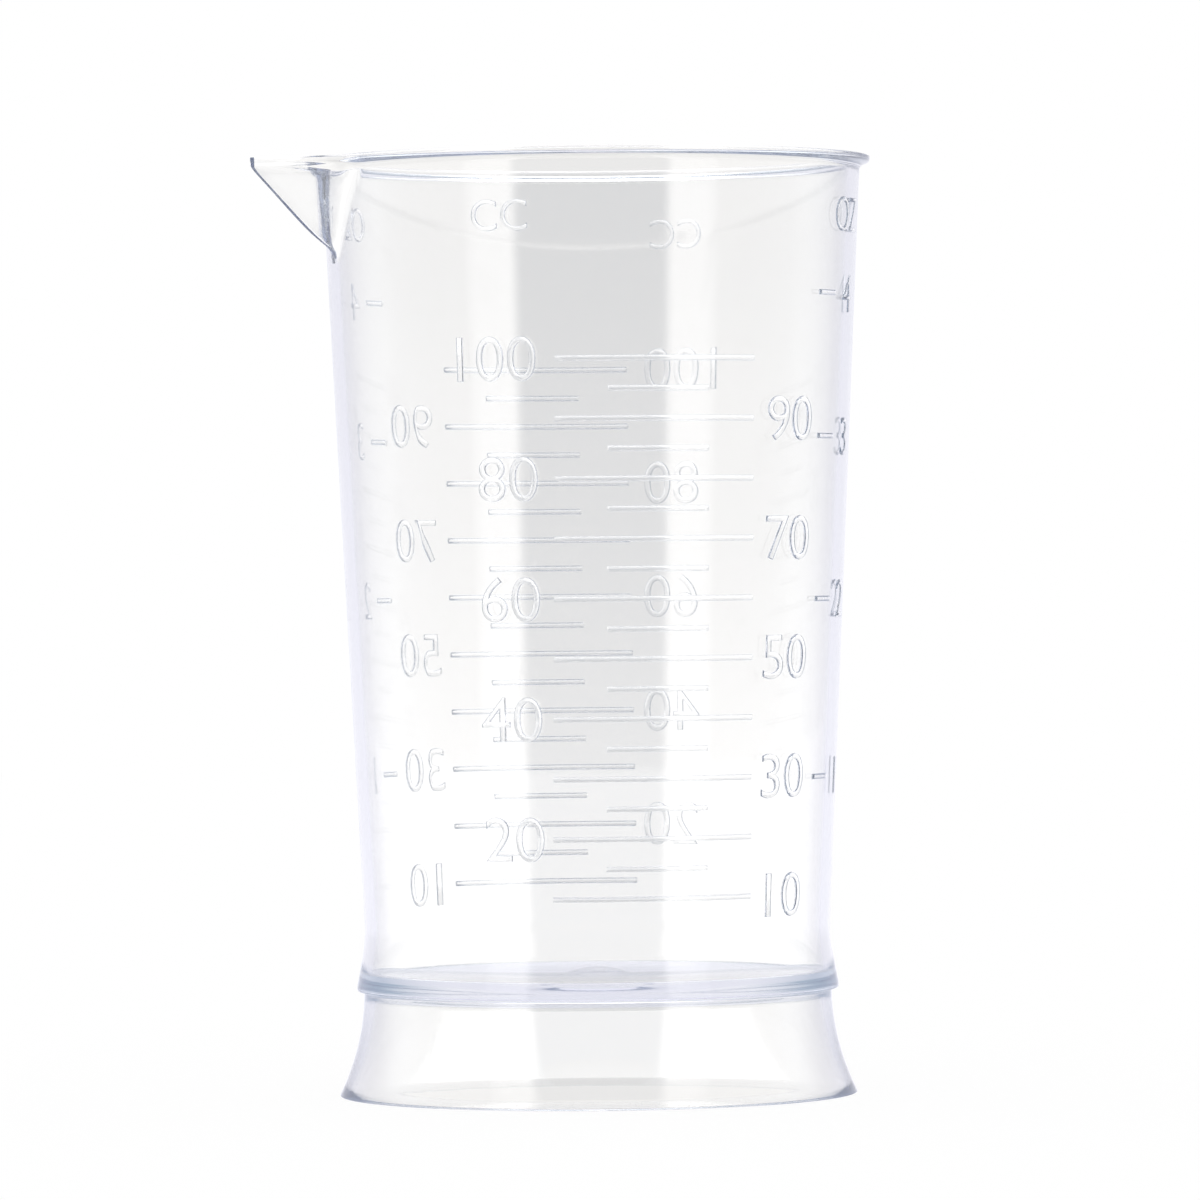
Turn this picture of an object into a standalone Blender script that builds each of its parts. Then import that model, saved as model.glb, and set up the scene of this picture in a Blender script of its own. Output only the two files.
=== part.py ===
"""A clear plastic measuring cup, 92 mm tall, that holds a little over 100 cubic centimetres.

Run it with: blender --background --python part.py
The real cup is one moulding. Its five regions are separate objects here: the foot skirt, the floor disc,
the wall with its raised graduation lines, the lip round the mouth, and the pouring spout.

Frame: metres, +Z up, origin on the standing plane under the middle of the bounding box.
The spout points along -X, and the main scale faces -Y, with its copy on the +Y side.
"""

import math

import bmesh
import bpy
from mathutils import Matrix, Vector

MM = 0.001

# Heights above the standing plane
CUP_HEIGHT = 92.0 * MM
FOOT_HEIGHT = 10.3 * MM
FLOOR_THICKNESS = 1.6 * MM
LIP_HEIGHT = 1.3 * MM

# Radii about the cup's own axis
WALL_FLOOR_RADIUS = 22.7 * MM
WALL_MOUTH_RADIUS = 26.5 * MM
LIP_OVERHANG = 1.0 * MM
RING_OVERHANG = 1.0 * MM
FOOT_INSET = 0.7 * MM
FOOT_FLARE = 2.5 * MM

# Thicknesses of the moulded walls
WALL = 1.1 * MM
FOOT_WALL = 1.1 * MM
FOOT_EDGE = 0.7 * MM
SPOUT_WALL = 0.9 * MM
LIP_EDGE = 0.9 * MM

# Rounding
EDGE_ROUND = 0.2 * MM
RING_BLEND_HEIGHT = 4.4 * MM
RING_BLEND_POWER = 1.5

# The pouring spout
SPOUT_REACH = 7.3 * MM
SPOUT_DROP = 8.7 * MM
SPOUT_HALF_ANGLE = math.radians(15)
SPOUT_LIP_OVERHANG = 0.5 * MM
SPOUT_LIP_HEIGHT = 0.6 * MM

# The mark that the mould's gate leaves in the middle of the floor
GATE_RADIUS = 3.4 * MM
GATE_RISE = 0.55 * MM

# Raised graduation lines: 10 to 100 in tens, with shorter lines at the fives
LINE_RISE = 0.25 * MM
LINE_SINK = 0.4 * MM
LINE_THICKNESS = 0.6 * MM
TEN_HEIGHT = 20.05 * MM
TEN_STEP = 5.75 * MM
TENS = 10
LONG_LINE_HALF_ANGLE = math.radians(22.1)
SHORT_LINE_HALF_ANGLE = math.radians(11)

# Raised ounce ticks, 1 to 4, whose spacing shrinks as the cup widens
OUNCE_HEIGHT = 31.3 * MM
OUNCE_STEP = 17.3 * MM
OUNCE_STEP_LOSS = 1.7 * MM
OUNCES = 4
OUNCE_TICK_HALF_ANGLE = math.radians(4)
OUNCE_TICK_BEARING = math.radians(47.5)

# Fits, fineness, and how far the spout's helpers run past the wall as a share of their length
SEAM_GAP = 0.3 * MM
MERGE_DISTANCE = 0.001 * MM
SEGMENTS = 96
ARC_STEPS = 6
LINE_STEP = math.radians(4)
RUN_ON = 1.7

CLEAR_PLASTIC = (0.90, 0.92, 0.96, 0.35)

# Worked out from the sizes above
FLOOR_BOTTOM = FOOT_HEIGHT
FLOOR_TOP = FLOOR_BOTTOM + FLOOR_THICKNESS
LIP_BOTTOM = CUP_HEIGHT - LIP_HEIGHT
WALL_TAPER = (WALL_MOUTH_RADIUS - WALL_FLOOR_RADIUS) / (CUP_HEIGHT - FLOOR_TOP)
RING_RADIUS = WALL_FLOOR_RADIUS + RING_OVERHANG
LIP_RADIUS = WALL_MOUTH_RADIUS + LIP_OVERHANG
SPOUT_TIP = WALL_MOUTH_RADIUS + SPOUT_REACH
AXIS_X = (SPOUT_TIP + SPOUT_LIP_OVERHANG - LIP_RADIUS) / 2


def wall_radius(height):
    """Outer radius of the tapered wall at a height."""
    return WALL_FLOOR_RADIUS + WALL_TAPER * (height - FLOOR_TOP)


def clear_scene():
    for obj in list(bpy.data.objects):
        bpy.data.objects.remove(obj)


def clear_material(name):
    material = bpy.data.materials.new(name)
    material.use_nodes = True
    shader = material.node_tree.nodes["Principled BSDF"]
    shader.inputs["Base Color"].default_value = CLEAR_PLASTIC[:3] + (1.0,)
    shader.inputs["Roughness"].default_value = 0.05
    shader.inputs["Metallic"].default_value = 0.0
    shader.inputs["IOR"].default_value = 1.49
    shader.inputs["Transmission Weight"].default_value = 1.0
    material.diffuse_color = CLEAR_PLASTIC
    return material


def add_object(name, bm):
    """Closes a bmesh into an object on the cup's axis."""
    bmesh.ops.recalc_face_normals(bm, faces=bm.faces)
    mesh = bpy.data.meshes.new(name)
    bm.to_mesh(mesh)
    bm.free()
    mesh.shade_smooth()
    mesh.set_sharp_from_angle(angle=math.radians(30))
    obj = bpy.data.objects.new(name, mesh)
    obj.location.x = AXIS_X
    bpy.context.scene.collection.objects.link(obj)
    return obj


def turned(name, profile):
    """Turns a closed outline of (radius, height) points about the axis. A facet's middle faces the spout."""
    bm = bmesh.new()
    corners = [bm.verts.new((radius, 0, height)) for radius, height in profile]
    edges = [bm.edges.new((a, b)) for a, b in zip(corners, corners[1:] + corners[:1])]
    bmesh.ops.spin(
        bm,
        geom=corners + edges,
        cent=(0, 0, 0),
        axis=(0, 0, 1),
        angle=math.tau,
        steps=SEGMENTS,
        use_merge=True,
    )
    bmesh.ops.remove_doubles(bm, verts=bm.verts, dist=MERGE_DISTANCE)
    half_facet = Matrix.Rotation(math.pi / SEGMENTS, 3, "Z")
    bmesh.ops.rotate(bm, verts=bm.verts, cent=(0, 0, 0), matrix=half_facet)
    return add_object(name, bm)


def helper(obj):
    """Marks an object as a cutter, which isn't part of the cup."""
    obj.hide_render = True
    obj.display_type = "WIRE"
    return obj


def boolean(obj, other, operation):
    modifier = obj.modifiers.new(f"{operation.lower()} {other.name}", "BOOLEAN")
    modifier.operation = operation
    modifier.solver = "EXACT"
    modifier.object = other


def arc(centre, radius, start, end, steps=ARC_STEPS):
    """Points (radius, height) along an arc, with angles in degrees from the outward direction."""
    angles = [math.radians(start + (end - start) * i / steps) for i in range(steps + 1)]
    return [(centre[0] + radius * math.cos(a), centre[1] + radius * math.sin(a)) for a in angles]


def foot_radius(height):
    """Outer radius of the skirt, which flares ever faster towards its open end."""
    below = 1 - height / FOOT_HEIGHT
    return RING_RADIUS - FOOT_INSET + FOOT_FLARE * below * below


def build_foot_skirt():
    top = FLOOR_BOTTOM - SEAM_GAP
    steps = 2 * ARC_STEPS
    heights = [top * i / steps for i in range(steps + 1)]
    outside = [(foot_radius(h), h) for h in heights]
    inside = [(foot_radius(h) - FOOT_EDGE - (FOOT_WALL - FOOT_EDGE) * h / top, h) for h in reversed(heights)]
    return turned("foot_skirt", outside + inside)


def build_floor_disc():
    """The solid disc that closes the cup. Its edge stands out as a ring, and the gate's mark domes its middle."""
    ring_top = [(RING_RADIUS, FLOOR_TOP)]
    ring_foot = arc((RING_RADIUS - EDGE_ROUND, FLOOR_BOTTOM + EDGE_ROUND), EDGE_ROUND, -90, 0)
    dome = [
        (GATE_RADIUS * i / ARC_STEPS, FLOOR_TOP + GATE_RISE * math.cos(math.pi / 2 * i / ARC_STEPS) ** 2)
        for i in range(ARC_STEPS + 1)
    ]
    return turned("floor_disc", [(0, FLOOR_BOTTOM)] + ring_foot + ring_top + dome[::-1])


def wall_profile():
    """The wall's outline: straight and tapered, with a blend that runs out to the floor's ring."""
    bottom = FLOOR_TOP + SEAM_GAP
    top = LIP_BOTTOM - SEAM_GAP
    blend = []
    for i in range(ARC_STEPS + 1):
        up = i / ARC_STEPS
        height = bottom + up * RING_BLEND_HEIGHT
        out = (RING_RADIUS - wall_radius(bottom)) * (1 - up) ** RING_BLEND_POWER
        blend.append((wall_radius(height) + out, height))
    return blend + [
        (wall_radius(top), top),
        (wall_radius(top) - WALL, top),
        (wall_radius(bottom) - WALL, bottom),
    ]


def add_line(bm, bearing, half_angle, height):
    """One raised line round the wall. Its bearing is measured from -Y towards +X."""
    steps = max(1, math.ceil(2 * half_angle / LINE_STEP))
    rings = []
    for i in range(steps + 1):
        angle = bearing - half_angle + 2 * half_angle * i / steps
        ring = []
        for above, out in ((-0.5, -LINE_SINK), (-0.5, LINE_RISE), (0.5, LINE_RISE), (0.5, -LINE_SINK)):
            z = height + above * LINE_THICKNESS
            radius = wall_radius(z) + out
            ring.append(bm.verts.new((radius * math.sin(angle), -radius * math.cos(angle), z)))
        rings.append(ring)
    for near, far in zip(rings, rings[1:]):
        for a in range(4):
            b = (a + 1) % 4
            bm.faces.new((near[a], near[b], far[b], far[a]))
    bm.faces.new(rings[0])
    bm.faces.new(rings[-1])


def ounce_height(number):
    """Height of an ounce tick, counted from 1."""
    steps = number - 1
    return OUNCE_HEIGHT + OUNCE_STEP * steps - OUNCE_STEP_LOSS * steps * (steps - 1) / 2


def build_lines():
    """All raised lines as one helper, which the wall takes in. Both sides carry the same two scales."""
    bm = bmesh.new()
    for side in (0, math.pi):
        for ten in range(TENS):
            height = TEN_HEIGHT + ten * TEN_STEP
            add_line(bm, side, LONG_LINE_HALF_ANGLE, height)
            if ten < TENS - 1:
                add_line(bm, side, SHORT_LINE_HALF_ANGLE, height + TEN_STEP / 2)
        for number in range(1, OUNCES + 1):
            add_line(bm, side + OUNCE_TICK_BEARING, OUNCE_TICK_HALF_ANGLE, ounce_height(number))
    return helper(add_object("raised_lines", bm))


def spout_section(reach):
    """The tip, the two roots and the crease's foot of a spout whose tip stands `reach` from the axis."""
    shift = SPOUT_TIP - reach
    tip = Vector((-SPOUT_TIP, 0, CUP_HEIGHT - SPOUT_LIP_HEIGHT))
    root = Vector((
        -WALL_MOUTH_RADIUS * math.cos(SPOUT_HALF_ANGLE),
        WALL_MOUTH_RADIUS * math.sin(SPOUT_HALF_ANGLE),
        tip.z,
    ))
    foot_height = CUP_HEIGHT - SPOUT_DROP
    foot = Vector((-wall_radius(foot_height), 0, foot_height))
    inwards = Vector((shift, 0, 0))
    return tip + inwards, root + inwards, foot + inwards


def spout_face_normal():
    tip, root, foot = spout_section(SPOUT_TIP)
    normal = (root - tip).cross(foot - tip).normalized()
    return normal if normal.x < 0 else -normal


def spout_side_normal():
    """The outward direction, seen from above, of one side of the spout's mouth."""
    tip, root, _ = spout_section(SPOUT_TIP)
    along = (root - tip).normalized()
    return Vector((-along.y, along.x, 0))


def spout_block(name, reach, top):
    """A solid wedge with the spout's two slanting faces, which runs on through the wall into the cup."""
    tip, root, foot = spout_section(reach)
    root_in = tip + (root - tip) * RUN_ON
    foot_in = tip + (foot - tip) * RUN_ON
    mirrored = Vector((root_in.x, -root_in.y, root_in.z))
    corners = [tip, root_in, mirrored, foot_in]
    corners += [Vector((p.x, p.y, top)) for p in (tip, root_in, mirrored)]
    bm = bmesh.new()
    for corner in corners:
        bm.verts.new(corner)
    bmesh.ops.convex_hull(bm, input=bm.verts)
    return helper(add_object(name, bm))


def spout_plate(name, overhang, low, high):
    """The flat plate round the spout's mouth: its outline from above, moved out along -X."""
    tip, root, _ = spout_section(SPOUT_TIP + overhang)
    end = tip + (root - tip) * RUN_ON
    bm = bmesh.new()
    for z in (low, high):
        for x, y in ((tip.x, 0), (end.x, end.y), (end.x, -end.y)):
            bm.verts.new((x, y, z))
    bmesh.ops.convex_hull(bm, input=bm.verts)
    return helper(add_object(name, bm))


def wall_plug(name, grow):
    """The space inside the wall's outer face, as a solid cone that runs past the mouth."""
    low = CUP_HEIGHT - 2 * SPOUT_DROP
    high = CUP_HEIGHT + LIP_HEIGHT
    outline = [(0, low), (wall_radius(low) + grow, low), (wall_radius(high) + grow, high), (0, high)]
    return helper(turned(name, outline))


def build_cup_wall(lines, channel):
    wall = turned("cup_wall", wall_profile())
    boolean(wall, lines, "UNION")
    boolean(wall, channel, "DIFFERENCE")
    return wall


def build_mouth_lip(channel, wall_space):
    """A thin flange round the mouth, rounded at its edge. It stops where the spout begins."""
    edge = LIP_EDGE / 2
    centre = (LIP_RADIUS - edge, CUP_HEIGHT - edge)
    outline = [(wall_radius(LIP_BOTTOM), LIP_BOTTOM)]
    outline += arc(centre, edge, -90, 90)
    outline += [
        (wall_radius(CUP_HEIGHT) - WALL, CUP_HEIGHT),
        (wall_radius(LIP_BOTTOM) - WALL, LIP_BOTTOM),
    ]
    lip = turned("mouth_lip", outline)
    opening_reach = SPOUT_TIP + SPOUT_LIP_OVERHANG + SEAM_GAP / abs(spout_side_normal().x)
    opening = spout_block("lip_opening", opening_reach, 2 * CUP_HEIGHT)
    boolean(opening, wall_space, "DIFFERENCE")
    boolean(lip, opening, "DIFFERENCE")
    boolean(lip, channel, "DIFFERENCE")
    return lip


def build_pour_spout(channel):
    """A V-shaped channel of two thin walls that meet in a slanting crease."""
    spout = spout_block("pour_spout", SPOUT_TIP, CUP_HEIGHT)
    spout.hide_render = False
    spout.display_type = "TEXTURED"
    plate = spout_plate("spout_lip_plate", SPOUT_LIP_OVERHANG, CUP_HEIGHT - SPOUT_LIP_HEIGHT, CUP_HEIGHT)
    boolean(spout, plate, "UNION")
    boolean(spout, wall_plug("spout_seat", SEAM_GAP), "DIFFERENCE")
    boolean(spout, channel, "DIFFERENCE")
    return spout


def main():
    clear_scene()
    lines = build_lines()
    inner_reach = SPOUT_TIP - SPOUT_WALL / abs(spout_face_normal().x)
    channel = spout_block("pouring_channel", inner_reach, 2 * CUP_HEIGHT)
    parts = [
        build_foot_skirt(),
        build_floor_disc(),
        build_cup_wall(lines, channel),
        build_mouth_lip(channel, wall_plug("wall_space", -SEAM_GAP)),
        build_pour_spout(channel),
    ]
    for part in parts:
        part.data.materials.append(clear_material(f"{part.name}_plastic"))


main()
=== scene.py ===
# %% [markdown]
# # A clear plastic measuring cup
# The cup is one moulding in clear plastic: a tapered wall, a thin flange round the mouth, a V-shaped
# pouring spout, a floor with a ring that stands out, and a flared hollow foot. Raised lines, numerals and
# unit letters stand on the wall. Clear plastic has hardly any colour of its own. What the eye reads is its
# edges, where light bends away, so smooth closed walls with a real thickness matter more than any texture.

# %% Load the frame
import math

import bmesh
import bpy
from mathutils import Matrix, Vector


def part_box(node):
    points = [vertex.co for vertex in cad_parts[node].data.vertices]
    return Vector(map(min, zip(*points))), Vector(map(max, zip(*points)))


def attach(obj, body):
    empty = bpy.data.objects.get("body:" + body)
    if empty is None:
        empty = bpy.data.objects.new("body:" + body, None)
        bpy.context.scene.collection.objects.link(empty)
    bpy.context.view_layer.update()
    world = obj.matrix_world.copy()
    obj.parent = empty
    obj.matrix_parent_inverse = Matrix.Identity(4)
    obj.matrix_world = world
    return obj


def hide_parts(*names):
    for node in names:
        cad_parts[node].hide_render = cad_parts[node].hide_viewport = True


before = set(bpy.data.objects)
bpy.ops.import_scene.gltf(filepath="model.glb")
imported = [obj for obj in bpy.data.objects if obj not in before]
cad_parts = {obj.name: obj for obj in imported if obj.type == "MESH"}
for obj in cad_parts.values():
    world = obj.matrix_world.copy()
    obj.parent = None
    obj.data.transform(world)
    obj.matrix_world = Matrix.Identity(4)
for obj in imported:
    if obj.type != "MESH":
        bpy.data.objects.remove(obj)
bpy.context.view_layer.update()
bpy.ops.object.select_all(action="DESELECT")
scene = bpy.context.scene
MM = 0.001

disc_low, disc_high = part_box("floor_disc")
AXIS_X = (disc_low.x + disc_high.x) / 2
for name in sorted(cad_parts):
    low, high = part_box(name)
    print(name, [round(c * 1000, 1) for c in high - low], "mm")
print("the cup's axis stands at x =", round(AXIS_X * 1000, 2), "mm")

# %% [markdown]
# ## The sizes that the whole cup shares
# A moulding is easiest to describe by the section that is turned about its axis. Each radius below is
# measured from that axis, and each height from the plane the cup stands on. The sizes could be typed where
# they are used, but several shapes share each of them, so they are named once.

# %% Shared sizes
CUP_HEIGHT = 92.0 * MM
FLOOR_BOTTOM = 10.3 * MM
FLOOR_TOP = 11.9 * MM
WALL_FLOOR_RADIUS = 22.7 * MM
WALL_MOUTH_RADIUS = 26.5 * MM
WALL = 1.1 * MM
TAPER = (WALL_MOUTH_RADIUS - WALL_FLOOR_RADIUS) / (CUP_HEIGHT - FLOOR_TOP)
LIP_OVERHANG = 1.0 * MM
LIP_EDGE = 0.9 * MM
LIP_SLOPE = 0.35 * MM
RING_RADIUS = 23.7 * MM
RING_EDGE = 0.5 * MM
FOOT_INSET = 0.7 * MM
FOOT_FLARE = 2.5 * MM
FOOT_WALL = 1.1 * MM
FOOT_EDGE = 0.7 * MM
MERGE_DISTANCE = 0.002 * MM
SMOOTH_ANGLE = math.radians(32)


def wall_radius(height):
    """Outer radius of the tapered wall."""
    return WALL_FLOOR_RADIUS + TAPER * (height - FLOOR_TOP)


def foot_radius(height):
    """Outer radius of the foot, which flares faster towards its open end."""
    below = 1 - height / FLOOR_BOTTOM
    return RING_RADIUS - FOOT_INSET + FOOT_FLARE * below * below


print("wall radius at the mouth", round(wall_radius(CUP_HEIGHT) * 1000, 2), "mm")

# %% [markdown]
# ## The camera
# The cup was seen from about three quarters of a metre away with a long lens, a little below the height
# of its mouth, so that the mouth is seen from slightly below and the foot from slightly above. A long lens
# keeps the sides of the cup nearly parallel. The small roll gives the slight lean of the picture.

# %% Camera
CAMERA_AZIMUTH = math.radians(-14.7)
CAMERA_DISTANCE = 0.778
CAMERA_HEIGHT = 0.053
AIM_HEIGHT = 0.04857
AIM_SIDE = 0.00054
ROLL = math.radians(-0.52)
LENS = 237

towards_camera = Vector((math.sin(CAMERA_AZIMUTH), -math.cos(CAMERA_AZIMUTH), 0))
camera_right = Vector((math.cos(CAMERA_AZIMUTH), math.sin(CAMERA_AZIMUTH), 0))
axis_foot = Vector((AXIS_X, 0, 0))
camera_place = axis_foot + towards_camera * CAMERA_DISTANCE + Vector((0, 0, CAMERA_HEIGHT))
aim = axis_foot + camera_right * AIM_SIDE + Vector((0, 0, AIM_HEIGHT))
bpy.ops.object.camera_add(location=camera_place)
camera = bpy.context.object
camera.name = "camera"
camera.rotation_mode = "QUATERNION"
level_view = (aim - camera_place).to_track_quat("-Z", "Y")
camera.rotation_quaternion = level_view @ Matrix.Rotation(ROLL, 3, "Z").to_quaternion()
camera.data.lens = LENS
camera.data.sensor_width = 36
camera.data.clip_start = 0.01
camera.data.clip_end = 50
scene.camera = camera
print("camera at", [round(c, 3) for c in camera_place])

# %% [markdown]
# ## Light and background
# A clear object shows the room and little else. Lamps would only add small glints, and real walls round
# the table would shut the camera out, so the room is drawn in the world, as colour ramps over each ray's
# direction. Seen straight through, the cup has a pale room behind it. In its mirror-like surfaces it has
# the studio in front of it: a dark gap where the camera stands, a tall bright softbox on each side of that
# gap, pale walls further round, and a bright softbox overhead. Light that is mirrored again and again
# inside the thick plastic of the rim and the floor's ring comes out a dim blue-grey. Light Path tells these
# apart, because its Glossy Depth counts how often a ray was mirrored. The camera itself sees plain white.
#
# Such light needs many bounces to find its way out. With too few, the thick places turn black.

# %% World
scene.view_settings.view_transform = "Standard"
BOUNCES = 96
scene.cycles.max_bounces = BOUNCES
scene.cycles.glossy_bounces = BOUNCES
scene.cycles.transmission_bounces = BOUNCES
world = bpy.data.worlds.new("studio")
scene.world = world
world.use_nodes = True
nodes = world.node_tree.nodes
links = world.node_tree.links
nodes.clear()


def add_node(tree, kind, label, **settings):
    """A node with its label and settings."""
    node = tree.nodes.new(kind)
    node.label = label
    for key, value in settings.items():
        setattr(node, key, value)
    return node


def math_node(tree, operation, label, first, second):
    """A Math node fed by sockets or plain numbers."""
    node = add_node(tree, "ShaderNodeMath", label, operation=operation)
    for socket, value in zip(node.inputs, (first, second)):
        if isinstance(value, (int, float)):
            socket.default_value = value
        else:
            tree.links.new(value, socket)
    return node.outputs[0]


def ramp(tree, label, factor, stops, interpolation="EASE"):
    """A colour ramp through stops of (position, grey or colour)."""
    node = add_node(tree, "ShaderNodeValToRGB", label)
    node.color_ramp.interpolation = interpolation
    elements = node.color_ramp.elements
    for i, (position, colour) in enumerate(stops):
        element = elements[i] if i < len(elements) else elements.new(position)
        element.position = position
        colour = (colour,) * 3 if isinstance(colour, (int, float)) else colour
        element.color = (*colour, 1)
    tree.links.new(factor, node.inputs["Fac"])
    return node.outputs["Color"]


def blend_colours(tree, label, blend_type, first, second):
    """Two colours blended all the way."""
    node = add_node(tree, "ShaderNodeMix", label, data_type="RGBA", blend_type=blend_type)
    node.inputs["Factor"].default_value = 1.0
    tree.links.new(first, node.inputs[6])
    tree.links.new(second, node.inputs[7])
    return node.outputs[2]


def mix_shaders(tree, label, share, first, second):
    """Two shaders mixed by a share."""
    node = add_node(tree, "ShaderNodeMixShader", label)
    tree.links.new(share, node.inputs[0])
    tree.links.new(first, node.inputs[1])
    tree.links.new(second, node.inputs[2])
    return node.outputs[0]


tree = world.node_tree
light_path = add_node(tree, "ShaderNodeLightPath", "kind of ray")
direction = add_node(tree, "ShaderNodeTexCoord", "direction in the room")
split = add_node(tree, "ShaderNodeSeparateXYZ", "direction parts")
links.new(direction.outputs["Generated"], split.inputs[0])
along = add_node(tree, "ShaderNodeVectorMath", "along the camera's line", operation="DOT_PRODUCT")
links.new(direction.outputs["Generated"], along.inputs[0])
along.inputs[1].default_value = towards_camera
flat = add_node(tree, "ShaderNodeVectorMath", "level part", operation="MULTIPLY")
links.new(direction.outputs["Generated"], flat.inputs[0])
flat.inputs[1].default_value = (1, 1, 0)
flat_length = add_node(tree, "ShaderNodeVectorMath", "length of the level part", operation="LENGTH")
links.new(flat.outputs[0], flat_length.inputs[0])
safe_length = math_node(tree, "MAXIMUM", "never nothing", flat_length.outputs["Value"], 0.001)
turn = math_node(tree, "DIVIDE", "cosine of the turn from the camera", along.outputs["Value"], safe_length)
turn_scale = math_node(tree, "MULTIPLY_ADD", "0 behind, 1 towards the camera", turn, 0.5)
turn_scale.node.inputs[2].default_value = 0.5

# A ramp over turn_scale starts behind the cup, at 0, and ends at the camera, at 1.
STUDIO_STRENGTH = 4.0
BEHIND_STRENGTH = 1.22
INSIDE_STRENGTH = 1.1
LIGHTING_STRENGTH = 0.8
WHITE = (1, 1, 1, 1)
GAP = (0.025, 0.05, 0.09)
SOFTBOX = (0.56, 0.57, 0.585)
SIDE_WALL = (0.4, 0.41, 0.425)
studio = ramp(
    tree,
    "pale walls, softboxes, dark gap",
    turn_scale,
    [
        (0.0, (0.27, 0.27, 0.29)),
        (0.03, (0.24, 0.24, 0.265)),
        (0.12, (0.24, 0.24, 0.265)),
        (0.3, SIDE_WALL),
        (0.765, SIDE_WALL),
        (0.79, SOFTBOX),
        (0.9, SOFTBOX),
        (0.925, GAP),
        (1.0, GAP),
    ],
)
height = math_node(tree, "MULTIPLY_ADD", "height of the ray, 0.5 is level", split.outputs["Z"], 0.5)
height.node.inputs[2].default_value = 0.5
overhead = ramp(
    tree,
    "softbox overhead and bright table",
    height,
    [(0.0, 0.27), (0.1, 0.27), (0.16, 0.0), (0.88, 0.0), (0.94, 1.0), (1.0, 1.0)],
)
wall_shade = ramp(
    tree,
    "walls paler towards the table",
    height,
    [(0.0, 1.0), (0.47, 1.0), (0.497, 0.92), (0.52, 0.87), (1.0, 0.85)],
    "LINEAR",
)
shaded_studio = blend_colours(tree, "shade of the walls", "MULTIPLY", studio, wall_shade)
full_studio = blend_colours(tree, "whichever is brighter", "LIGHTEN", shaded_studio, overhead)
studio_shader = add_node(tree, "ShaderNodeBackground", "studio in rays mirrored once")
links.new(full_studio, studio_shader.inputs["Color"])
studio_shader.inputs["Strength"].default_value = STUDIO_STRENGTH

behind = ramp(
    tree,
    "brightest at the floor's edge, dim overhead",
    height,
    [
        (0.0, 0.96),
        (0.486, 0.94),
        (0.491, 0.9),
        (0.4966, 0.87),
        (0.5012, 0.845),
        (0.509, 0.835),
        (0.5164, 0.805),
        (0.53, 0.79),
        (0.62, 0.77),
        (0.85, 0.65),
        (1.0, 0.5),
    ],
    "LINEAR",
)
backdrop = ramp(
    tree,
    "backdrop, darker past its edges",
    turn_scale,
    [
        (0.0, (1, 0.986, 0.965)),
        (0.025, (1, 0.986, 0.965)),
        (0.07, (0.8, 0.8, 0.8)),
        (0.2, (0.52, 0.53, 0.57)),
        (1.0, (0.42, 0.44, 0.5)),
    ],
    "LINEAR",
)
room = blend_colours(tree, "backdrop in its room", "MULTIPLY", behind, backdrop)
behind_shader = add_node(tree, "ShaderNodeBackground", "room seen through the cup")
links.new(room, behind_shader.inputs["Color"])
behind_shader.inputs["Strength"].default_value = BEHIND_STRENGTH

inside = ramp(
    tree,
    "dim blue-grey of thick plastic, lighter from behind",
    turn_scale,
    [
        (0.0, (0.95, 0.95, 0.96)),
        (0.05, (0.95, 0.95, 0.96)),
        (0.18, (0.35, 0.44, 0.54)),
        (0.8, (0.31, 0.4, 0.5)),
        (1.0, (0.42, 0.45, 0.53)),
    ],
    "LINEAR",
)
inside_shader = add_node(tree, "ShaderNodeBackground", "room in rays mirrored again and again")
links.new(inside, inside_shader.inputs["Color"])
inside_shader.inputs["Strength"].default_value = INSIDE_STRENGTH

plain_shader = add_node(tree, "ShaderNodeBackground", "plain white for the camera")
plain_shader.inputs["Color"].default_value = WHITE
plain_shader.inputs["Strength"].default_value = 1.0
lighting_shader = add_node(tree, "ShaderNodeBackground", "soft light on surfaces")
lighting_shader.inputs["Color"].default_value = WHITE
lighting_shader.inputs["Strength"].default_value = LIGHTING_STRENGTH

glossy_depth = light_path.outputs["Glossy Depth"]
mirrored = math_node(tree, "GREATER_THAN", "mirrored at least once", glossy_depth, 0.5)
again = add_node(tree, "ShaderNodeMapRange", "mirrored more than once")
links.new(glossy_depth, again.inputs["Value"])
again.inputs["From Min"].default_value = 1
again.inputs["From Max"].default_value = 4
reflected = mix_shaders(
    tree,
    "studio or thick plastic",
    again.outputs["Result"],
    studio_shader.outputs[0],
    inside_shader.outputs[0],
)
see_through = mix_shaders(tree, "behind or reflected", mirrored, behind_shader.outputs[0], reflected)
seen = math_node(
    tree,
    "MAXIMUM",
    "glossy or transmitted",
    light_path.outputs["Is Glossy Ray"],
    light_path.outputs["Is Transmission Ray"],
)
lit = mix_shaders(tree, "lighting or reflections", seen, lighting_shader.outputs[0], see_through)
final = mix_shaders(
    tree, "camera or the rest", light_path.outputs["Is Camera Ray"], lit, plain_shader.outputs[0]
)
output = add_node(tree, "ShaderNodeOutputWorld", "world")
links.new(final, output.inputs["Surface"])
print("world nodes:", len(nodes))
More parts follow.
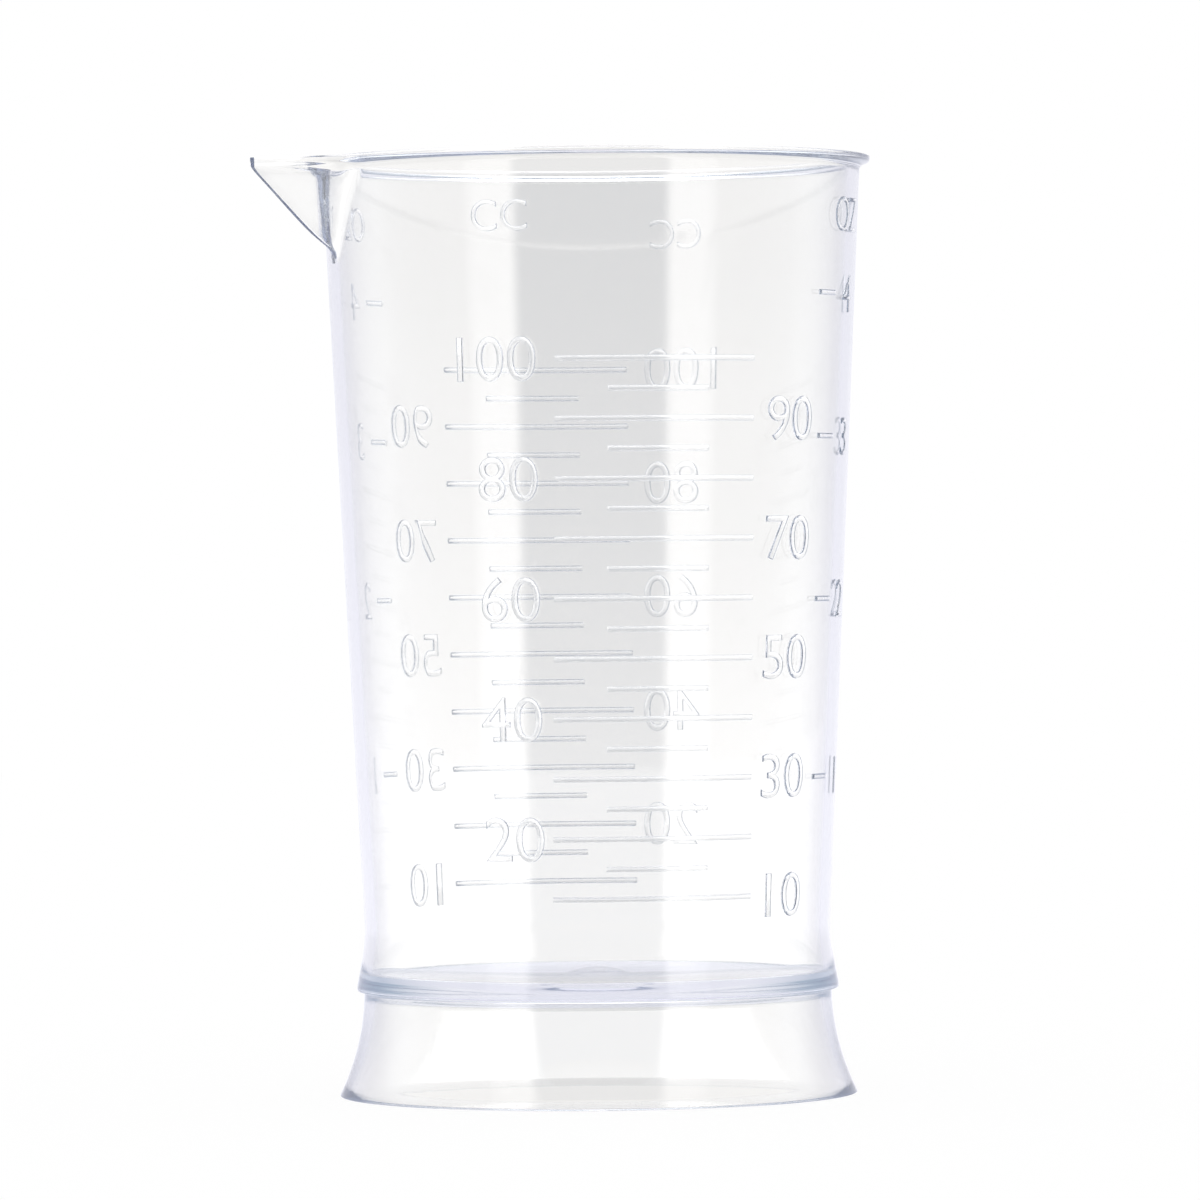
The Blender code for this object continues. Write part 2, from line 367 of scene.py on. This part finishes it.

# %% [markdown]
# ## The table
# The cup stands on a white sheet. It could be a backdrop that curves up behind the cup, but the world is
# white there already, so a flat disc is enough. The sheet takes the cup's shadow, looks white to the camera
# and through the cup, and lets mirrored rays pass, so that they see the studio's own table. Seen through
# the cup it glows brighter away from the foot, which leaves a painted shadow under the cup. It lies a hair
# below the foot, because two surfaces in one plane would be drawn in patches.

# %% Table
FLOOR_REACH = 1.17
FLOOR_GAP = 0.05 * MM
GLOW_SHARE = 0.9
GLOW_STRENGTH = 1.04
# Through the cup the sheet glows brighter only beyond a radius from the axis, so near the foot it is
# dimmer: a painted shadow under the cup.
PAINTED_SHADOW_DEPTH = 0.27
PAINTED_SHADOW_RADIUS = 28 * MM
PAINTED_SHADOW_FADE_RADIUS = 60 * MM
bpy.ops.mesh.primitive_circle_add(
    vertices=64, radius=FLOOR_REACH, fill_type="NGON", location=(AXIS_X, 0, -FLOOR_GAP)
)
floor = bpy.context.object
floor.name = "floor"
white_floor = bpy.data.materials.new("white_floor")
white_floor.use_nodes = True
tree = white_floor.node_tree
tree.nodes.clear()
light_path = add_node(tree, "ShaderNodeLightPath", "kind of ray")
paper = add_node(tree, "ShaderNodeBsdfDiffuse", "paper that takes the shadow")
paper.inputs["Color"].default_value = (0.8, 0.8, 0.8, 1)
glow = add_node(tree, "ShaderNodeEmission", "white of the sheet")
paper_share = add_node(tree, "ShaderNodeMixShader", "little shadow")
paper_share.inputs[0].default_value = GLOW_SHARE
links = tree.links
links.new(paper.outputs[0], paper_share.inputs[1])
links.new(glow.outputs[0], paper_share.inputs[2])
# Painted shadow: seen through the cup, the sheet is dimmer near the cup's axis and brighter further out.
# This is besides the real shadow that the paper takes.
floor_place = add_node(tree, "ShaderNodeTexCoord", "place on the floor")
from_axis = add_node(tree, "ShaderNodeVectorMath", "distance from the cup", operation="LENGTH")
links.new(floor_place.outputs["Object"], from_axis.inputs[0])
outside = add_node(tree, "ShaderNodeMapRange", "outside the foot")
links.new(from_axis.outputs["Value"], outside.inputs["Value"])
outside.inputs["From Min"].default_value = PAINTED_SHADOW_RADIUS
outside.inputs["From Max"].default_value = PAINTED_SHADOW_FADE_RADIUS
through_cup = light_path.outputs["Is Transmission Ray"]
past_painted_shadow = math_node(tree, "MULTIPLY", "through the cup", through_cup, outside.outputs["Result"])
strength = math_node(tree, "MULTIPLY_ADD", "brighter through the cup", past_painted_shadow, PAINTED_SHADOW_DEPTH)
strength.node.inputs[2].default_value = GLOW_STRENGTH
warmth = add_node(tree, "ShaderNodeMix", "warmer through the cup", data_type="RGBA")
links.new(through_cup, warmth.inputs["Factor"])
warmth.inputs[6].default_value = WHITE
warmth.inputs[7].default_value = (1, 0.986, 0.965, 1)
links.new(warmth.outputs[2], glow.inputs["Color"])
links.new(strength, glow.inputs["Strength"])
seen = math_node(
    tree,
    "MAXIMUM",
    "camera or transmitted",
    light_path.outputs["Is Camera Ray"],
    light_path.outputs["Is Transmission Ray"],
)
by_ray = mix_shaders(
    tree, "plain paper for light, white for the eye", seen, paper.outputs[0], paper_share.outputs[0]
)
gap = add_node(tree, "ShaderNodeBsdfTransparent", "let mirrored rays see the studio")
glossy_depth = light_path.outputs["Glossy Depth"]
mirrored = math_node(tree, "GREATER_THAN", "mirrored at least once", glossy_depth, 0.5)
open_floor = mix_shaders(tree, "floor or studio", mirrored, by_ray, gap.outputs[0])
output = add_node(tree, "ShaderNodeOutputMaterial", "floor")
links.new(open_floor, output.inputs["Surface"])
floor.data.materials.append(white_floor)
print("table reaches", FLOOR_REACH, "m")

# %% [markdown]
# ## The clear plastic
# One glossy plastic for the whole moulding. A plain transparent shader would be quicker, but it bends
# nothing, and the dark edges by which clear plastic is read would be missing. So Transmission lets light
# through, and the index of refraction bends it at each surface. A moulded surface is never dead flat: the
# melt leaves slow waves and a faint unevenness in its gloss, which a low bump and a noise on the roughness
# give. A weak absorption inside gives the blue-violet of thick places.

# %% Material
clear_plastic = bpy.data.materials.new("clear_plastic")
clear_plastic.use_nodes = True
tree = clear_plastic.node_tree
shader = tree.nodes["Principled BSDF"]
shader.inputs["Base Color"].default_value = (0.915, 0.915, 0.915, 1)
shader.inputs["Metallic"].default_value = 0.0
shader.inputs["IOR"].default_value = 1.49
shader.inputs["Transmission Weight"].default_value = 1.0
place = add_node(tree, "ShaderNodeTexCoord", "place on the cup")
gloss_noise = add_node(tree, "ShaderNodeTexNoise", "uneven gloss")
gloss_noise.inputs["Scale"].default_value = 90
gloss_noise.inputs["Detail"].default_value = 3
tree.links.new(place.outputs["Object"], gloss_noise.inputs["Vector"])
gloss = add_node(tree, "ShaderNodeMapRange", "gloss range")
gloss.inputs["To Min"].default_value = 0.01
gloss.inputs["To Max"].default_value = 0.045
tree.links.new(gloss_noise.outputs["Fac"], gloss.inputs["Value"])
tree.links.new(gloss.outputs["Result"], shader.inputs["Roughness"])
flow_noise = add_node(tree, "ShaderNodeTexNoise", "flow of the melt")
flow_noise.inputs["Scale"].default_value = 30
flow_noise.inputs["Detail"].default_value = 1
tree.links.new(place.outputs["Object"], flow_noise.inputs["Vector"])
flow = add_node(tree, "ShaderNodeBump", "slow waves")
flow.inputs["Strength"].default_value = 0.1
flow.inputs["Distance"].default_value = 0.02 * MM
tree.links.new(flow_noise.outputs["Fac"], flow.inputs["Height"])
tree.links.new(flow.outputs["Normal"], shader.inputs["Normal"])
absorb = add_node(tree, "ShaderNodeVolumeAbsorption", "blue-violet in thick places")
absorb.inputs["Color"].default_value = (0.66, 0.68, 0.85, 1)
absorb.inputs["Density"].default_value = 9
tree.links.new(absorb.outputs[0], tree.nodes["Material Output"].inputs["Volume"])
print("material", clear_plastic.name, len(tree.nodes), "nodes")

# %% [markdown]
# ## Turning the moulding
# The real cup is round but for its spout, and it is one skin all over. It could be a stack of cylinders
# joined by Booleans, but each seam would show in clear plastic, so it is made like a lathe shape. It starts
# as one point. The point is extruded from place to place to draw the section, up the outside and down the
# inside, the corners are rounded with a vertex bevel, and the section is spun round the axis. Near the
# spout the spin takes finer steps and the section has more rings, because that part is pushed out of round
# later, and clear plastic shows each facet.
#
# The section follows the moulding: a foot that flares, a floor whose edge stands out as a ring, a wall of
# even thickness that bends out towards that ring, and a flange whose underside slopes.


# %% Draw the section
def start_point(place):
    """A mesh of one vertex in edit mode, made from a plane merged to its middle."""
    bpy.ops.object.select_all(action="DESELECT")
    bpy.ops.mesh.primitive_plane_add(size=1 * MM, location=(0, 0, 0))
    bpy.ops.object.mode_set(mode="EDIT")
    bpy.ops.mesh.merge(type="CENTER")
    bpy.ops.transform.translate(value=place)
    return bpy.context.object


def on_section(radius, height):
    """The place of a radius and a height in the section's plane."""
    return Vector((AXIS_X - radius, 0, height))


def line_of(points, start):
    """Extrudes a vertex from point to point."""
    at = start
    for point in points:
        bpy.ops.mesh.extrude_region_move(TRANSFORM_OT_translate={"value": point - at})
        at = point


def round_corner(obj, place, reach, segments):
    """Rounds the section's corner at a place."""
    bpy.ops.mesh.select_mode(type="VERT")
    bpy.ops.mesh.select_all(action="DESELECT")
    bm = bmesh.from_edit_mesh(obj.data)
    nearest = min(bm.verts, key=lambda vertex: (vertex.co - place).length)
    nearest.select = True
    bm.select_flush_mode()
    bmesh.update_edit_mesh(obj.data)
    bpy.ops.mesh.bevel(offset=reach, segments=segments, affect="VERTICES", profile=0.5)


FOOT_RINGS = 10
BLEND_RINGS = 10
BLEND_HEIGHT = 5.6 * MM
BLEND_POWER = 1.4
WALL_RINGS = 12
WALL_START = 5.2 * MM
SPOUT_TOP_ZONE = 13.0 * MM
SPOUT_RINGS = 22
LIP_BOTTOM = CUP_HEIGHT - LIP_EDGE
LIP_RADIUS = wall_radius(LIP_BOTTOM) + LIP_OVERHANG
GATE_MARK = [
    (3.4 * MM, 0),
    (2.6 * MM, 0.16 * MM),
    (1.7 * MM, 0.4 * MM),
    (0.8 * MM, 0.54 * MM),
    (0, 0.56 * MM),
]

foot_heights = [FLOOR_BOTTOM * i / FOOT_RINGS for i in range(FOOT_RINGS + 1)]
ring_top = FLOOR_BOTTOM + RING_EDGE
blend = []
for i in range(BLEND_RINGS + 1):
    up = i / BLEND_RINGS
    level = ring_top + BLEND_HEIGHT * up
    beyond_wall = (RING_RADIUS - wall_radius(ring_top)) * (1 - up) ** BLEND_POWER
    blend.append((wall_radius(level) + beyond_wall, level))
FLOOR_INNER_RADIUS = blend[2][0] - WALL
high_wall = LIP_BOTTOM - SPOUT_TOP_ZONE
low_wall = FLOOR_TOP + WALL_START
wall_heights = [low_wall + (high_wall - low_wall) * i / WALL_RINGS for i in range(WALL_RINGS)]
wall_heights += [high_wall + SPOUT_TOP_ZONE * i / SPOUT_RINGS for i in range(SPOUT_RINGS + 1)]


def foot_wall(height):
    """Thickness of the foot, which thins towards its open end."""
    return FOOT_EDGE + (FOOT_WALL - FOOT_EDGE) * height / FLOOR_BOTTOM


section = [(0, FLOOR_BOTTOM), (foot_radius(FLOOR_BOTTOM) - FOOT_WALL, FLOOR_BOTTOM)]
section += [(foot_radius(h) - foot_wall(h), h) for h in reversed(foot_heights[:-1])]
section += [(foot_radius(h), h) for h in foot_heights]
section += [(RING_RADIUS, FLOOR_BOTTOM)] + blend
section += [(wall_radius(h), h) for h in wall_heights]
section += [
    (LIP_RADIUS, LIP_BOTTOM + LIP_SLOPE),
    (LIP_RADIUS, CUP_HEIGHT),
    (wall_radius(CUP_HEIGHT) - WALL, CUP_HEIGHT),
]
section += [(wall_radius(h) - WALL, h) for h in reversed(wall_heights)]
section += [
    (radius - WALL, h) for radius, h in reversed(blend) if FLOOR_TOP + 1 * MM < h < low_wall - 0.4 * MM
]
section += [(FLOOR_INNER_RADIUS, FLOOR_TOP), (FLOOR_INNER_RADIUS - 1.2 * MM, FLOOR_TOP)]
section += [(radius, FLOOR_TOP + rise) for radius, rise in GATE_MARK]

places = [on_section(*point) for point in section]
moulding = start_point(places[0])
moulding.name = "cup_moulding"
line_of(places[1:], places[0])

# Each corner has its place, how far its rounding reaches, and its segments.
corners = [
    ((foot_radius(FLOOR_BOTTOM) - FOOT_WALL, FLOOR_BOTTOM), 0.3 * MM, 4),
    ((foot_radius(0) - FOOT_EDGE, 0), 0.15 * MM, 3),
    ((foot_radius(0), 0), 0.15 * MM, 3),
    ((RING_RADIUS, FLOOR_BOTTOM), 0.2 * MM, 3),
    ((foot_radius(FLOOR_BOTTOM), FLOOR_BOTTOM), 0.2 * MM, 4),
    ((RING_RADIUS, ring_top), 0.25 * MM, 4),
    ((wall_radius(LIP_BOTTOM), LIP_BOTTOM), 0.5 * MM, 8),
    ((LIP_RADIUS, LIP_BOTTOM + LIP_SLOPE), 0.24 * MM, 5),
    ((LIP_RADIUS, CUP_HEIGHT), 0.12 * MM, 4),
    ((wall_radius(CUP_HEIGHT) - WALL, CUP_HEIGHT), 0.12 * MM, 4),
    ((FLOOR_INNER_RADIUS, FLOOR_TOP), 0.25 * MM, 4),
]
for corner, reach, segments in corners:
    round_corner(moulding, on_section(*corner), reach, segments)
print("section points:", len(bmesh.from_edit_mesh(moulding.data).verts))

# %% Spin the section
SPOUT_SECTOR = math.radians(64)
CREASE_SECTOR = math.radians(6)
FINE_STEPS = 44
CREASE_STEPS = 60
COARSE_STEPS = 148
axis_point = (AXIS_X, 0, 0)
bpy.ops.mesh.select_mode(type="VERT")
bpy.ops.mesh.select_all(action="SELECT")
bpy.ops.transform.rotate(value=-SPOUT_SECTOR / 2, orient_axis="Z", center_override=axis_point)
beside = (SPOUT_SECTOR - CREASE_SECTOR) / 2
for steps, angle in (
    (FINE_STEPS, beside),
    (CREASE_STEPS, CREASE_SECTOR),
    (FINE_STEPS, beside),
    (COARSE_STEPS, math.tau - SPOUT_SECTOR),
):
    bpy.ops.mesh.spin(steps=steps, angle=angle, center=axis_point, axis=(0, 0, 1))
bpy.ops.mesh.select_all(action="SELECT")
bpy.ops.mesh.remove_doubles(threshold=MERGE_DISTANCE)
bpy.ops.mesh.normals_make_consistent(inside=False)
bpy.ops.object.mode_set(mode="OBJECT")


def turn_from_spout(co):
    """Angle round the axis, from the spout's direction."""
    return math.atan2(co.y, AXIS_X - co.x)


turns = {round(math.degrees(turn_from_spout(v.co)), 2) for v in moulding.data.vertices}
beside_spout = [turn for turn in turns if abs(turn) < math.degrees(SPOUT_SECTOR) / 2]
print("columns near the spout:", len(beside_spout))

# %% [markdown]
# ## Pushing the spout out
# The spout is the same wall, pushed out of round into two flat sides that meet in a slanting crease. Two
# slanting planes say how far out the wall would stand at each angle and height. Where that is further than
# the round wall, the wall goes there. A smooth maximum joins the two with a small blend, as the mould's
# rounded edge does. A separate spout joined by a Boolean would leave slivers there, and clear plastic shows
# every sliver. Towards the tip the flange shrinks and thins, and the spout's walls are thinner than the
# cup's.

# %% Push out the spout
SPOUT_TIP = 34.7 * MM
SPOUT_TIP_HEIGHT = 91.0 * MM
SPOUT_HALF_ANGLE = math.radians(13)
SPOUT_FOOT_HEIGHT = 81.6 * MM
SPOUT_WALL = 0.42 * MM
SPOUT_BLEND = 1.3 * MM
OUTER_CREASE_SOFTNESS = 0.01
INNER_CREASE_SOFTNESS = 0.0015
FOOT_SOFTNESS = 0.1
FOOT_SOFTNESS_POWER = 9
SPOUT_LIP_LOSS = 0.92
SPOUT_LIP_THINNING = 0.35
PUSHED_SECTOR = math.radians(45)
PUSHED_HEIGHT = 1.5 * SPOUT_TOP_ZONE
LEAST_RADIUS = 20 * MM

tip = Vector((-SPOUT_TIP, 0, SPOUT_TIP_HEIGHT))
root = Vector(
    (
        -WALL_MOUTH_RADIUS * math.cos(SPOUT_HALF_ANGLE),
        WALL_MOUTH_RADIUS * math.sin(SPOUT_HALF_ANGLE),
        SPOUT_TIP_HEIGHT,
    )
)
foot = Vector((-wall_radius(SPOUT_FOOT_HEIGHT), 0, SPOUT_FOOT_HEIGHT))
side_normal = (root - tip).cross(foot - tip).normalized()
if side_normal.x > 0:
    side_normal = -side_normal
side_distance = side_normal.dot(tip)


def smooth_max(a, b, blend):
    """The larger of two lengths, with a round blend where they are close."""
    close = max(blend - abs(a - b), 0) / blend
    return max(a, b) + close * close * blend / 4


def side_reach(angle, height, distance, softness):
    """How far from the axis a slanting side stands, with a crease that is rounder towards its foot."""
    below = (SPOUT_TIP_HEIGHT - height) / (SPOUT_TIP_HEIGHT - SPOUT_FOOT_HEIGHT)
    softness += FOOT_SOFTNESS * min(max(below, 0), 1) ** FOOT_SOFTNESS_POWER
    spread = math.sqrt(math.sin(angle) ** 2 + softness**2)
    facing = -side_normal.x * math.cos(angle) + side_normal.y * spread
    return (distance - side_normal.z * min(height, SPOUT_TIP_HEIGHT)) / facing


def push(angle, height, radius):
    """How far a point of the wall moves outwards."""
    if abs(angle) > PUSHED_SECTOR or height < CUP_HEIGHT - PUSHED_HEIGHT:
        return 0
    outer = wall_radius(height)
    inner = outer - WALL
    outer_reach = side_reach(angle, height, side_distance, OUTER_CREASE_SOFTNESS)
    outer_move = smooth_max(outer, outer_reach, SPOUT_BLEND) - outer
    inner_distance = side_distance - SPOUT_WALL
    inner_reach = side_reach(angle, height, inner_distance, INNER_CREASE_SOFTNESS)
    inner_move = smooth_max(inner, inner_reach, SPOUT_BLEND) - inner
    share = min(max((radius - inner) / WALL, 0), 1)
    return inner_move + (outer_move - inner_move) * share


def nearness_to_tip(angle):
    """1 within 6 degrees of the spout's tip, falling to 0 at 16 degrees."""
    return min(max(1.6 - abs(math.degrees(angle)) / 10, 0), 1)


moved = 0
for vertex in moulding.data.vertices:
    out = Vector((vertex.co.x - AXIS_X, vertex.co.y, 0))
    if out.length < LEAST_RADIUS:
        continue
    step = push(turn_from_spout(vertex.co), vertex.co.z, out.length)
    if step > 0:
        overhang = max(out.length - wall_radius(vertex.co.z), 0)
        near_tip = nearness_to_tip(turn_from_spout(vertex.co))
        vertex.co += out.normalized() * (step - overhang * SPOUT_LIP_LOSS * near_tip)
        thinned = SPOUT_LIP_THINNING * near_tip * min(3 * overhang / LIP_OVERHANG, 1)
        vertex.co.z += (CUP_HEIGHT - vertex.co.z) * thinned
        moved += 1
moulding.data.update()
tip_x = min(v.co.x for v in moulding.data.vertices)
print("moved", moved, "points; spout reaches x =", round(tip_x * 1000, 2), "mm")

# %% [markdown]
# ## Smooth faces and crisp edges
# Even fine steps show as facets in clear plastic unless the shading runs smoothly across them. Smoothing
# every face would smear the edges of the rim and the foot, so only faces that meet at a small angle are
# smoothed. The moulding then stands for all five solids of the frame, because the real cup has no seams.

# %% Shade the moulding
bpy.ops.object.select_all(action="DESELECT")
moulding.select_set(True)
bpy.context.view_layer.objects.active = moulding
bpy.ops.object.shade_smooth_by_angle(angle=SMOOTH_ANGLE)
moulding.data.materials.append(clear_plastic)
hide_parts("cup_wall", "mouth_lip", "pour_spout", "floor_disc", "foot_skirt")
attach(moulding, "root")
print("moulding:", len(moulding.data.polygons), "faces")

# %% [markdown]
# ## The raised scale
# The cup carries a scale in cubic centimetres and one in ounces, and the same two again on the far side.
# On the real cup the lines were cut into the mould, so they stand on the wall. They could be joined to the
# wall by Booleans, but those cut its smooth mesh to pieces, and in clear plastic that shows. So each line
# is a low bar with a rounded back, wrapped round the tapered wall and sunk a little into it. One bar is
# modelled, and each line is a copy with its own mesh. The marks have the same clear plastic, but no tint of
# their own, so that only their edges show, as on one moulding.

# %% Plastic of the marks
mark_plastic = clear_plastic.copy()
mark_plastic.name = "clear_plastic_marks"
mark_shader = mark_plastic.node_tree.nodes["Principled BSDF"]
mark_shader.inputs["Base Color"].default_value = WHITE
mark_shader.inputs["Specular IOR Level"].default_value = 0.3
tint = next(node for node in mark_plastic.node_tree.nodes if node.type == "VOLUME_ABSORPTION")
mark_plastic.node_tree.nodes.remove(tint)
print("material", mark_plastic.name, len(mark_plastic.node_tree.nodes), "nodes")

# %% Wrapping
MARK_RISE = 0.11 * MM
MARK_SINK = 0.3 * MM


def wrap(obj, bearing, level):
    """Wraps a flat piece (X along, Y up, Z out) round the wall at a bearing from -Y and a height."""
    reference = wall_radius(level)
    for vertex in obj.data.vertices:
        along, up, out = vertex.co
        angle = bearing + along / reference
        radius = wall_radius(level + up) + out
        vertex.co = (AXIS_X + radius * math.sin(angle), -radius * math.cos(angle), level + up)
    obj.data.update()


def join_pieces(name, made):
    """Joins pieces into one and names it."""
    bpy.ops.object.select_all(action="DESELECT")
    for obj in made:
        obj.select_set(True)
    bpy.context.view_layer.objects.active = made[0]
    bpy.ops.object.join()
    joined = bpy.context.object
    joined.name = name
    joined.data.name = name
    joined.data.materials.clear()
    joined.data.materials.append(mark_plastic)
    bpy.ops.object.shade_smooth_by_angle(angle=SMOOTH_ANGLE)
    print(name, len(joined.data.polygons), "faces from", len(made), "pieces")
    return joined


# %% One line, made once
LINE_THICKNESS = 0.52 * MM
LINE_BEVEL = 0.22 * MM
LINE_END = 0.15 * MM
LINE_END_DROP = 0.8 * MARK_RISE
LINE_PARTS = 24
bpy.ops.object.select_all(action="DESELECT")
bpy.ops.mesh.primitive_cube_add(size=1, location=(0, 0, 0))
line_pattern = bpy.context.object
line_pattern.name = "line_pattern"
bpy.ops.object.mode_set(mode="EDIT")
bpy.ops.transform.resize(value=(1, LINE_THICKNESS, MARK_RISE + MARK_SINK))
bpy.ops.transform.translate(value=(0, 0, (MARK_RISE - MARK_SINK) / 2))
bpy.ops.mesh.select_mode(type="EDGE")
bpy.ops.mesh.select_all(action="DESELECT")
bm = bmesh.from_edit_mesh(line_pattern.data)
for edge in bm.edges:
    lengthwise = abs(edge.verts[0].co.x - edge.verts[1].co.x) > 0.5
    if lengthwise and edge.verts[0].co.z > 0:
        edge.select = True
bmesh.update_edit_mesh(line_pattern.data)
bpy.ops.mesh.bevel(offset=LINE_BEVEL, segments=4, profile=0.5, clamp_overlap=True)
bpy.ops.mesh.select_all(action="DESELECT")
bm = bmesh.from_edit_mesh(line_pattern.data)
for edge in bm.edges:
    edge.select = abs(edge.verts[0].co.x - edge.verts[1].co.x) > 0.5
bmesh.update_edit_mesh(line_pattern.data)
bpy.ops.mesh.subdivide(number_cuts=LINE_PARTS - 1)
bpy.ops.object.mode_set(mode="OBJECT")
print("line pattern:", len(line_pattern.data.polygons), "faces")


def copy_line(half_length, bearing, level):
    """A copy of the line with its own mesh, stretched to its length, sloped at its ends and wrapped."""
    bpy.ops.object.select_all(action="DESELECT")
    line_pattern.select_set(True)
    bpy.context.view_layer.objects.active = line_pattern
    bpy.ops.object.duplicate()
    line = bpy.context.object
    line.data.transform(Matrix.Diagonal((2 * half_length, 1, 1, 1)))
    part = 2 * half_length / LINE_PARTS
    for vertex in line.data.vertices:
        from_end = half_length - abs(vertex.co.x)
        if from_end < 0.5 * part:
            vertex.co.z -= LINE_END_DROP * (vertex.co.z > 0)
        elif from_end < 1.5 * part:
            vertex.co.x = math.copysign(half_length - LINE_END, vertex.co.x)
    wrap(line, bearing, level)
    return line


# %% The lines of the cubic centimetre scale
FIRST_TEN = 20.05 * MM
TEN_STEP = 5.75 * MM
LONG_HALF = 10.15 * MM
SHORT_HALF = 5.05 * MM
lines = []
for i in range(10):
    level = FIRST_TEN + i * TEN_STEP
    lines.append(copy_line(LONG_HALF, 0, level))
    if i < 9:
        lines.append(copy_line(SHORT_HALF, 0, level + TEN_STEP / 2))
cc_lines = join_pieces("cc_lines_front", lines)

# %% The ticks of the ounce scale
OUNCE_LEVELS = [31.3 * MM, 48.6 * MM, 64.4 * MM, 78.3 * MM]
TICK_ARC = 21.6 * MM
TICK_HALF = 1.75 * MM
ticks = [copy_line(TICK_HALF, TICK_ARC / wall_radius(level), level) for level in OUNCE_LEVELS]
oz_ticks = join_pieces("oz_ticks_front", ticks)
bpy.data.objects.remove(line_pattern)

# %% [markdown]
# ## Numerals and unit letters
# Plain numerals tell the volumes, and two letters name each unit. They could be drawn stroke by stroke, but
# a text object has them ready. It gets a depth and a rounded edge, is made a mesh, and is wrapped round the
# wall in the same way as the lines.

# %% Text on the wall
TEXT_EDGE = 0.12 * MM
PROBE_SIZE = 10 * MM


def flat_text(body, size, align):
    """A raised text as a flat mesh, upright about its own middle height."""
    bpy.ops.object.select_all(action="DESELECT")
    bpy.ops.object.text_add(location=(0, 0, 0))
    text = bpy.context.object
    text.data.body = body
    text.data.size = size
    text.data.align_x = align
    text.data.resolution_u = 5
    text.data.offset = -TEXT_EDGE
    text.data.bevel_depth = TEXT_EDGE
    text.data.bevel_resolution = 1
    text.data.extrude = (MARK_RISE + MARK_SINK) / 2 - TEXT_EDGE
    bpy.ops.object.convert(target="MESH")
    text = bpy.context.object
    bpy.ops.object.mode_set(mode="EDIT")
    bpy.ops.mesh.select_all(action="SELECT")
    bpy.ops.mesh.remove_doubles(threshold=MERGE_DISTANCE)
    bpy.ops.mesh.normals_make_consistent(inside=False)
    bpy.ops.object.mode_set(mode="OBJECT")
    return text


def raised_text(body, height, bearing, level, align="CENTER", width=1.0):
    """Text of a height in metres, made wider by a factor and wrapped at a bearing and a height."""
    probe = flat_text("0", PROBE_SIZE, "CENTER")
    ups = [v.co.y for v in probe.data.vertices]
    digit = max(ups) - min(ups)
    bpy.data.objects.remove(probe)
    text = flat_text(body, height / digit * PROBE_SIZE, align)
    ups = [v.co.y for v in text.data.vertices]
    middle = (max(ups) + min(ups)) / 2
    shift = Matrix.Translation((0, -middle, (MARK_RISE - MARK_SINK) / 2))
    text.data.transform(Matrix.Diagonal((width, 1, 1, 1)) @ shift)
    wrap(text, bearing, level)
    return text


# %% Numerals of the cubic centimetre scale
NUMERAL_HEIGHT = 4.3 * MM
NUMERAL_BEARING = math.radians(26.6)
EVEN_TENS_WIDTH = 1.04
ODD_TENS_WIDTH = 1.14
CC_HEIGHT = 3.0 * MM
CC_BEARING = math.radians(-34.5)
CC_LEVEL = 85.5 * MM
numerals = []
for i in range(10):
    level = FIRST_TEN + i * TEN_STEP
    value = str(10 * (i + 1))
    if i % 2:
        bearing, align, width = -NUMERAL_BEARING, "RIGHT", EVEN_TENS_WIDTH
    else:
        bearing, align, width = NUMERAL_BEARING, "LEFT", ODD_TENS_WIDTH
    numerals.append(raised_text(value, NUMERAL_HEIGHT, bearing, level, align, width))
cc_numerals = join_pieces("cc_numerals_front", numerals)
cc_letters = join_pieces("cc_letters_front", [raised_text("CC", CC_HEIGHT, CC_BEARING, CC_LEVEL)])

# %% Numerals of the ounce scale
OUNCE_HEIGHT = 3.7 * MM
OUNCE_WIDTH = 1.15
OUNCE_ARC = 26.9 * MM
OZ_HEIGHT = 3.4 * MM
OZ_BEARING = math.radians(58)
OZ_LEVEL = 86.0 * MM
ounce_numerals = [
    raised_text(str(i + 1), OUNCE_HEIGHT, OUNCE_ARC / wall_radius(level), level, width=OUNCE_WIDTH)
    for i, level in enumerate(OUNCE_LEVELS)
]
oz_numerals = join_pieces("oz_numerals_front", ounce_numerals)
oz_letters = join_pieces("oz_letters_front", [raised_text("OZ", OZ_HEIGHT, OZ_BEARING, OZ_LEVEL)])

# %% [markdown]
# ## The far side's marks
# The mould has the same marks on both halves. A mirror would turn the numerals back to front, so each
# piece is copied and turned half a turn about the cup's axis.

# %% Copy the marks to the far side
front_marks = [cc_lines, oz_ticks, cc_numerals, cc_letters, oz_numerals, oz_letters]
half_turn = Matrix.Rotation(math.pi, 4, "Z")
half_turn = Matrix.Translation(axis_foot) @ half_turn @ Matrix.Translation(-axis_foot)
all_marks = list(front_marks)
for mark in front_marks:
    bpy.ops.object.select_all(action="DESELECT")
    mark.select_set(True)
    bpy.context.view_layer.objects.active = mark
    bpy.ops.object.duplicate()
    copied = bpy.context.object
    copied.name = mark.name.replace("_front", "_back")
    copied.data.name = copied.name
    copied.data.transform(half_turn)
    all_marks.append(copied)
for mark in all_marks:
    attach(mark, "root")
print("marks:", [m.name for m in all_marks])
